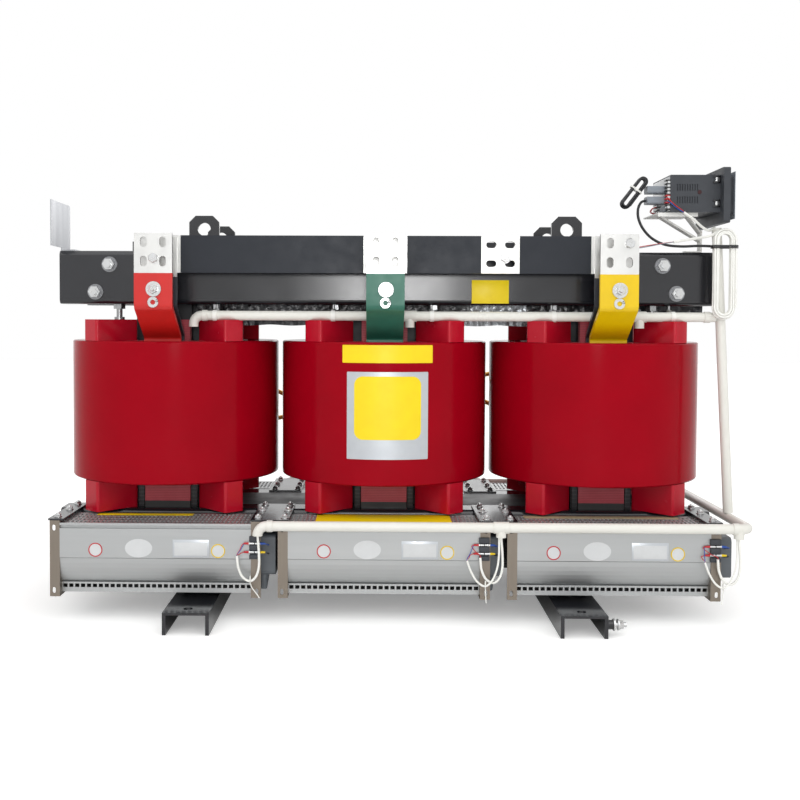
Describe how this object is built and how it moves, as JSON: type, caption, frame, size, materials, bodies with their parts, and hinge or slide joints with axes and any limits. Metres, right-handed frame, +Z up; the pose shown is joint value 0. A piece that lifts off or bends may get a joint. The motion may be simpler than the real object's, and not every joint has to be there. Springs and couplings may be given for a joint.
{
  "type": "three-phase cast-resin dry-type power transformer",
  "caption": "Dry-type power transformer: cast resin coils on a clamped core, flat busbars, cross-flow fans along both sides, channel feet and a temperature controller.",
  "frame": {"origin": "on the floor, under the middle of the whole outline without its free cords", "axes": "+X along the row of coils towards the controller, +Z up, -Y towards the low-voltage busbars"},
  "size_m": [1.5605, 0.772, 1.014],
  "materials": {
    "black_paint": "gloss black enamel on steel",
    "core_steel": "lacquered silicon steel",
    "zinc": "bright zinc plate",
    "red_resin": "gloss cast epoxy resin",
    "dull_red": "satin resin and laminate",
    "red_sleeve": "red heat-shrink sleeve, bare tinned top",
    "green_sleeve": "green heat-shrink sleeve, bare tinned top",
    "yellow_sleeve": "yellow heat-shrink sleeve, bare tinned top",
    "charcoal_sleeve": "charcoal sleeve on tinned copper",
    "post_resin": "moulded brown-red resin",
    "link_metal": "brass rods and studs",
    "fan_aluminium": "satin anodised extrusion",
    "stainless": "brushed stainless sheet",
    "motor_grey": "satin grey paint",
    "pvc_white": "white conduit plastic",
    "bracket_white": "white painted sheet",
    "plate_metal": "plain aluminium sheet",
    "case_grey": "moulded dark grey plastic",
    "hood_grey": "moulded light grey plastic",
    "cable_black": "black cable sheath",
    "cable_white": "white cable sheath"
  },
  "bodies": {
    "root": {"left_foot": "black_paint", "right_foot": "black_paint", "earthing_bolt": "zinc", "lower_front_clamp": "black_paint", "lower_rear_clamp": "black_paint", "upper_front_clamp": "black_paint", "upper_rear_clamp": "black_paint", "core": "core_steel", "tie_bolts": "zinc", "lifting_lugs": "black_paint", "left_lv_coil": "dull_red", "middle_lv_coil": "dull_red", "right_lv_coil": "dull_red", "left_hv_coil": "red_resin", "middle_hv_coil": "red_resin", "right_hv_coil": "red_resin", "lower_blocks": "red_resin", "upper_blocks": "red_resin", "support_boards": "dull_red", "pressure_screws": "zinc", "red_busbar": "red_sleeve", "green_busbar": "green_sleeve", "yellow_busbar": "yellow_sleeve", "neutral_leads": "charcoal_sleeve", "neutral_bar": "charcoal_sleeve", "post_insulators": "post_resin", "delta_links": "link_metal", "front_left_fan": "fan_aluminium", "front_middle_fan": "fan_aluminium", "front_right_fan": "fan_aluminium", "rear_left_fan": "fan_aluminium", "rear_middle_fan": "fan_aluminium", "rear_right_fan": "fan_aluminium", "front_fan_brackets": "stainless", "rear_fan_brackets": "stainless", "fan_impellers": "fan_aluminium", "fan_motors": "motor_grey", "fan_arms": "black_paint", "upper_conduit": "pvc_white", "riser_conduit": "pvc_white", "lower_conduit": "pvc_white", "nameplate_bracket": "plate_metal", "controller_bracket": "bracket_white", "controller_case": "case_grey", "controller_bezel": "case_grey", "connector_hoods": "hood_grey", "alarm_hank": "cable_black", "supply_cable": "cable_black", "sensor_hank": "cable_white", "fan_leads": "cable_white"}
  },
  "joints": []
}
